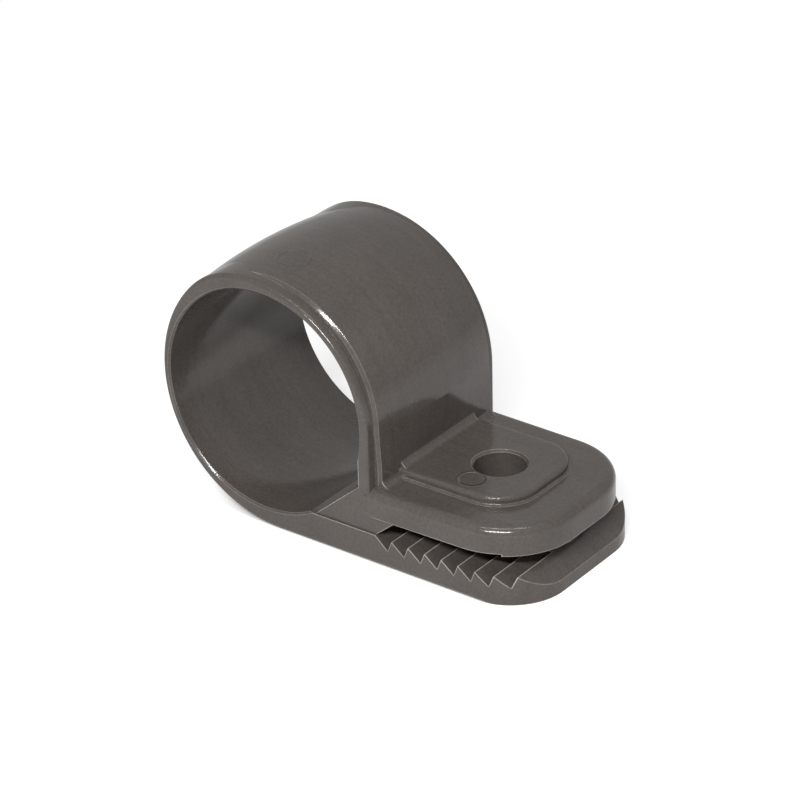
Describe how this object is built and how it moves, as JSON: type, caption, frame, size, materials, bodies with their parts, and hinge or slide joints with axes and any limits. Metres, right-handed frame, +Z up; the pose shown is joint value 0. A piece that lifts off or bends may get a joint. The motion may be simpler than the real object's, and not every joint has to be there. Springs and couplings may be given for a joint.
{
  "type": "pipe saddle",
  "caption": "One-piece moulded pipe saddle: a round strap closes on a toothed foot and a screw tab with a raised pad holds it to a flat surface.",
  "frame": {"origin": "on the pipe axis, at the middle of the clip's width", "axes": "+Y along the pipe axis, +X from the ring towards the screw tab, +Z up from the flat foot"},
  "size_m": [0.0559, 0.0268, 0.035],
  "materials": {
    "plastic": "dark warm grey moulded plastic with a semi-gloss sheen"
  },
  "bodies": {
    "root": {"pipe_saddle": "plastic"}
  },
  "joints": []
}
